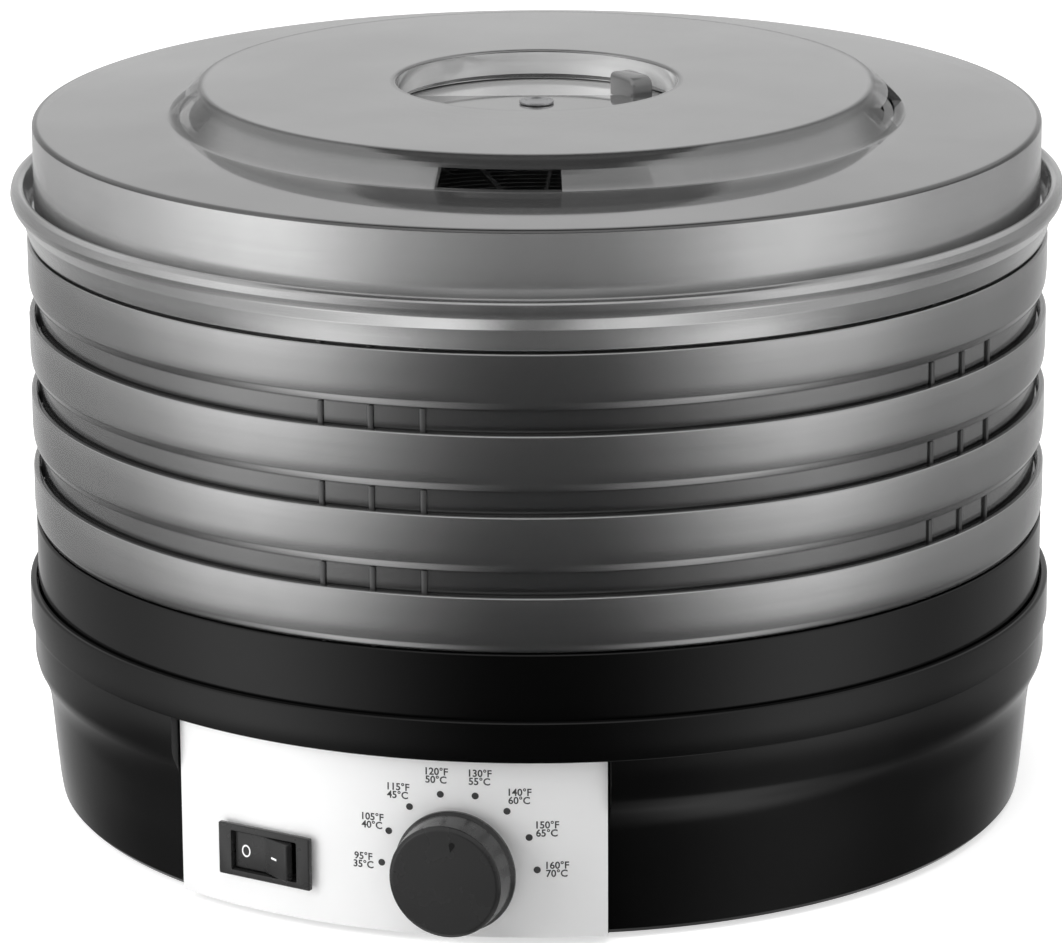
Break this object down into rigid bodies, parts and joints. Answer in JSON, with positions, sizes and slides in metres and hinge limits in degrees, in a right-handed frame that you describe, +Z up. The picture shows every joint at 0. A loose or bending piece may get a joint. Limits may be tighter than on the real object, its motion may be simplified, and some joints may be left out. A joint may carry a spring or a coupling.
{
  "type": "food dehydrator",
  "caption": "Round stacking food dehydrator: fan-heated base with rocker switch and thermostat dial, nesting grid-floored trays, and a lid with a turning vent.",
  "frame": {"origin": "on the surface the appliance stands on, on the axis of the tray stack", "axes": "+Z up along the stack's axis, -Y towards the control panel, +X to the right seen from the front"},
  "size_m": [0.3296, 0.3343, 0.2284],
  "materials": {
    "black_gloss": "glossy moulded black plastic",
    "black_matt": "satin moulded black plastic",
    "knob_black": "satin black plastic knob",
    "switch_black": "satin black switch plastic with white marks",
    "panel_silver": "satin silver panel with printed scale",
    "smoke_plastic": "smoke-grey translucent moulded plastic",
    "rubber": "matt rubber",
    "steel": "zinc-plated steel",
    "sheet_steel": "pressed sheet steel",
    "mica": "layered mica sheet",
    "nichrome": "oxidised sheathed heating element"
  },
  "bodies": {
    "base": {"base_housing": "black_gloss", "upper_deck": "black_gloss", "bottom_plate": "black_matt", "air_grille": "black_matt", "control_panel": "panel_silver", "switch_bezel": "black_matt", "thermostat_body": "sheet_steel", "fan_motor": "sheet_steel", "motor_bracket": "sheet_steel", "heater_duct": "sheet_steel", "mica_frame": "mica", "heating_element": "nichrome", "thermal_fuse": "steel", "cord_gland": "rubber", "terminal_block": "black_matt", "foot_1": "rubber", "plate_screw_1": "steel", "foot_2": "rubber", "plate_screw_2": "steel", "foot_3": "rubber", "plate_screw_3": "steel", "foot_4": "rubber", "plate_screw_4": "steel", "bracket_screw_1": "steel", "duct_screw_1": "steel", "bracket_screw_2": "steel", "duct_screw_2": "steel", "bracket_screw_3": "steel", "duct_screw_3": "steel"},
    "rocker": {"switch_rocker": "switch_black"},
    "knob": {"thermostat_knob": "knob_black", "thermostat_shaft": "steel"},
    "fan": {"fan_blade": "black_matt", "motor_shaft": "steel"},
    "tray_1": {"tray_1": "smoke_plastic"},
    "tray_2": {"tray_2": "smoke_plastic"},
    "tray_3": {"tray_3": "smoke_plastic"},
    "tray_4": {"tray_4": "smoke_plastic"},
    "tray_5": {"tray_5": "smoke_plastic"},
    "lid": {"lid": "smoke_plastic", "vent_pin": "steel"},
    "vent": {"vent_dial": "smoke_plastic"}
  },
  "joints": [
    {"name": "switch_rock", "type": "hinge", "parent": "base", "child": "rocker", "pos_m": [-0.03565, -0.1532, 0.0213], "axis": [0, 0, 1], "range_deg": [0, 22]},
    {"name": "thermostat_turn", "type": "hinge", "parent": "base", "child": "knob", "pos_m": [0.0252, -0.16, 0.0243], "axis": [0, 1, 0], "range_deg": [-108, 72]},
    {"name": "fan_spin", "type": "hinge", "parent": "base", "child": "fan", "pos_m": [0, 0, 0.045], "axis": [0, 0, 1], "continuous": true},
    {"name": "tray_1_lift", "type": "slide", "parent": "base", "child": "tray_1", "axis": [0, 0, 1], "range_m": [0, 0.04]},
    {"name": "tray_2_lift", "type": "slide", "parent": "tray_1", "child": "tray_2", "axis": [0, 0, 1], "range_m": [0, 0.04]},
    {"name": "tray_3_lift", "type": "slide", "parent": "tray_2", "child": "tray_3", "axis": [0, 0, 1], "range_m": [0, 0.04]},
    {"name": "tray_4_lift", "type": "slide", "parent": "tray_3", "child": "tray_4", "axis": [0, 0, 1], "range_m": [0, 0.04]},
    {"name": "tray_5_lift", "type": "slide", "parent": "tray_4", "child": "tray_5", "axis": [0, 0, 1], "range_m": [0, 0.04]},
    {"name": "lid_lift", "type": "slide", "parent": "tray_5", "child": "lid", "axis": [0, 0, 1], "range_m": [0, 0.06]},
    {"name": "vent_turn", "type": "hinge", "parent": "lid", "child": "vent", "pos_m": [0, 0, 0.2175], "axis": [0, 0, 1], "range_deg": [0, 28]}
  ]
}
